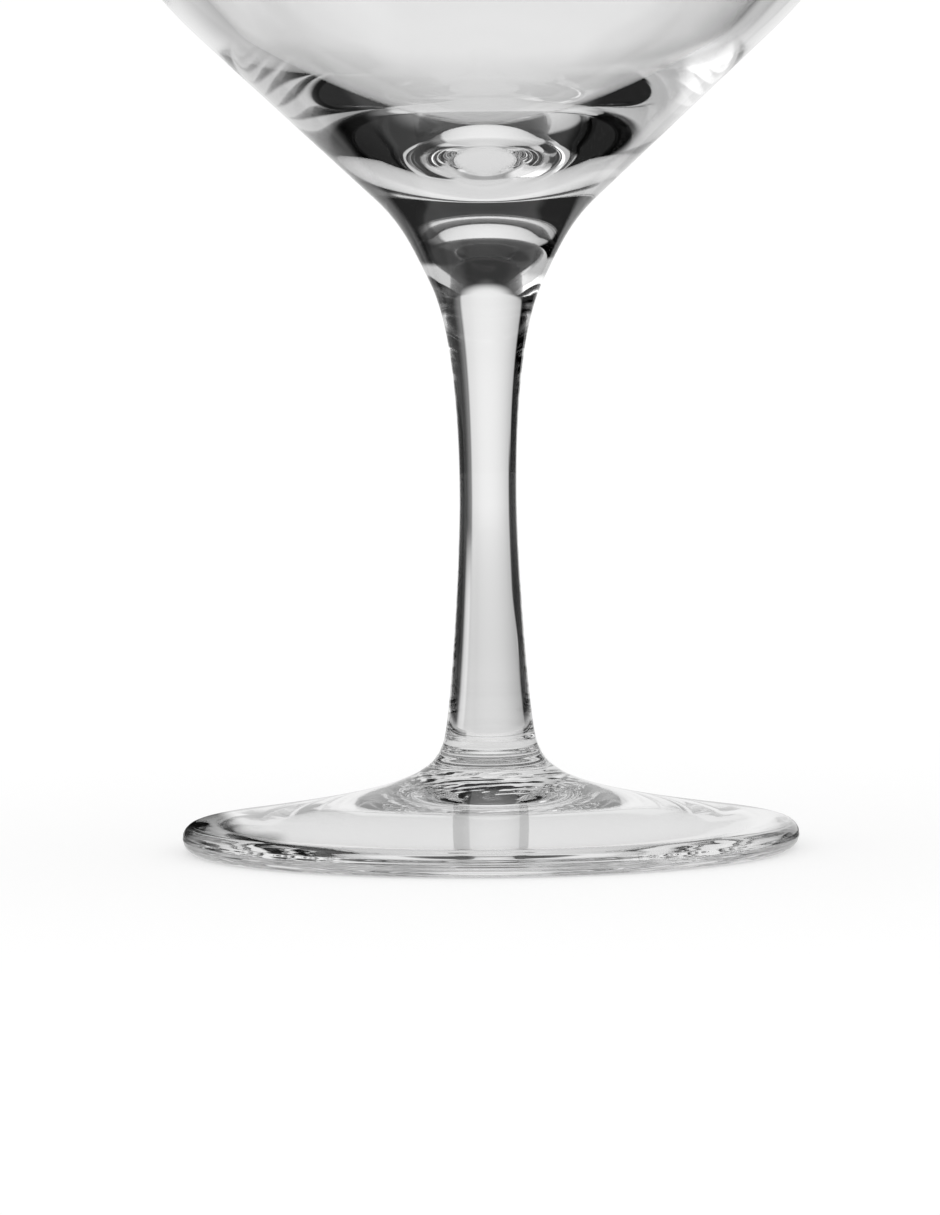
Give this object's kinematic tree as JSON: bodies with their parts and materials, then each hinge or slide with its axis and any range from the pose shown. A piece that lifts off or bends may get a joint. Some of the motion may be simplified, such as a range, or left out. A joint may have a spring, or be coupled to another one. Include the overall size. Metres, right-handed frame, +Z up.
{
  "type": "gin glass",
  "caption": "Stemmed balloon gin glass: a clear round bowl with a conical solid base, a slim waisted stem and a flared round foot, hollowed underneath so that it stands on a ring.",
  "frame": {"origin": "centre of the foot, on the plane that its standing ring rests on", "axes": "+Z up the axis of the glass to the lip; X and Y are level and, as the glass is round, equal; the picture looks along +Y"},
  "size_m": [0.111, 0.111, 0.1905],
  "materials": {
    "bowl_glass": "clear, fire-polished",
    "stem_glass": "clear, fire-polished",
    "foot_glass": "clear, pressed and fire-polished, with faint rings round its neck"
  },
  "bodies": {
    "root": {"bowl": "bowl_glass", "stem": "stem_glass", "foot": "foot_glass"}
  },
  "joints": []
}
